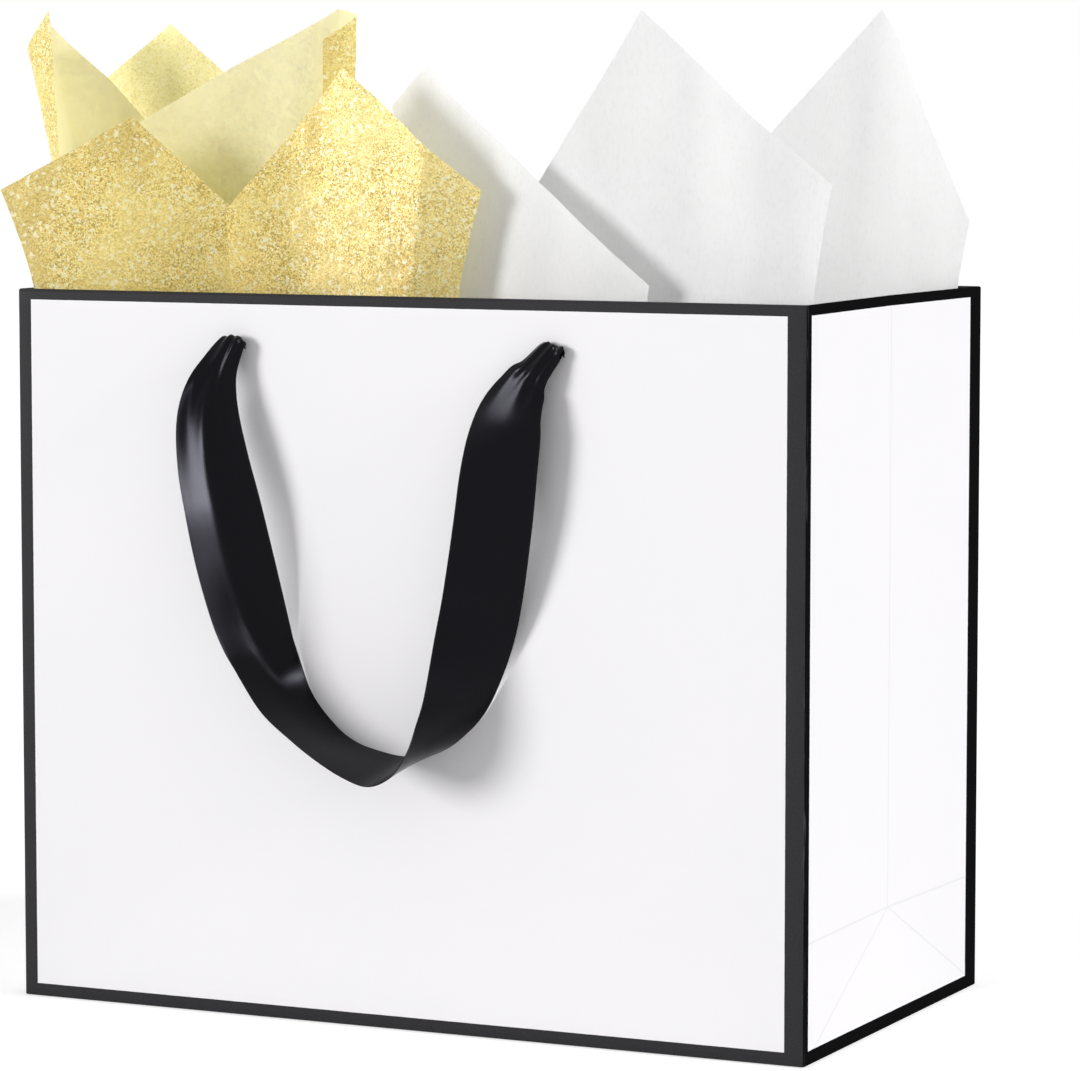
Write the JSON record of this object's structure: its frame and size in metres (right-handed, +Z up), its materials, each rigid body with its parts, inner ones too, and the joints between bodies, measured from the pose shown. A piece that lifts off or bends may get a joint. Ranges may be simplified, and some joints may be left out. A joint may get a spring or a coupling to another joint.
{
  "type": "gift bag",
  "caption": "Square-bottomed paper gift bag with edge-printed panels, two satin ribbon handles, stiffened rim, bottom board and gold and white tissue paper.",
  "frame": {"origin": "middle of the bag's base, on the floor", "axes": "+Z up, front panel faces -Y, +X to the right seen from the front"},
  "size_m": [0.2914, 0.2062, 0.3261],
  "materials": {
    "printed_card": "matt laminated white card with a charcoal printed border",
    "plain_card": "uncoated white reverse of the card",
    "board": "grey-white packing board",
    "satin_ribbon": "black double-faced satin",
    "gold_tissue": "gold glitter on one face, pale yellow reverse",
    "white_tissue": "thin white tissue"
  },
  "bodies": {
    "root": {"front_panel": "printed_card", "back_panel": "printed_card", "left_gusset": "printed_card", "right_gusset": "printed_card", "side_seam_flap": "plain_card", "front_hem": "printed_card", "back_hem": "printed_card", "left_hem": "printed_card", "right_hem": "printed_card", "front_stiffener": "board", "back_stiffener": "board", "front_bottom_flap": "printed_card", "back_bottom_flap": "printed_card", "left_bottom_flap": "plain_card", "right_bottom_flap": "plain_card", "base_board": "board", "front_ribbon_knots": "satin_ribbon", "back_ribbon_knots": "satin_ribbon"},
    "front_handle": {"front_ribbon_loop": "satin_ribbon"},
    "back_handle": {"back_ribbon_loop": "satin_ribbon"},
    "gold_tissue": {"gold_sheet_front_left": "gold_tissue", "gold_sheet_front_right": "gold_tissue", "gold_sheet_back_left": "gold_tissue", "gold_sheet_back_middle": "gold_tissue", "gold_sheet_back_right": "gold_tissue"},
    "white_tissue": {"white_sheet_front": "white_tissue", "white_sheet_middle": "white_tissue", "white_sheet_side": "white_tissue"}
  },
  "joints": [
    {"name": "front_handle_swing", "type": "hinge", "parent": "root", "child": "front_handle", "pos_m": [0, -0.08381, 0.218], "axis": [-1, 0, 0], "range_deg": [0, 180]},
    {"name": "back_handle_swing", "type": "hinge", "parent": "root", "child": "back_handle", "pos_m": [0, 0.08381, 0.218], "axis": [1, 0, 0], "range_deg": [0, 180]},
    {"name": "gold_tissue_lift", "type": "slide", "parent": "root", "child": "gold_tissue", "axis": [0, 0, 1], "range_m": [0, 0.25]},
    {"name": "white_tissue_lift", "type": "slide", "parent": "root", "child": "white_tissue", "axis": [0, 0, 1], "range_m": [0, 0.25]}
  ]
}
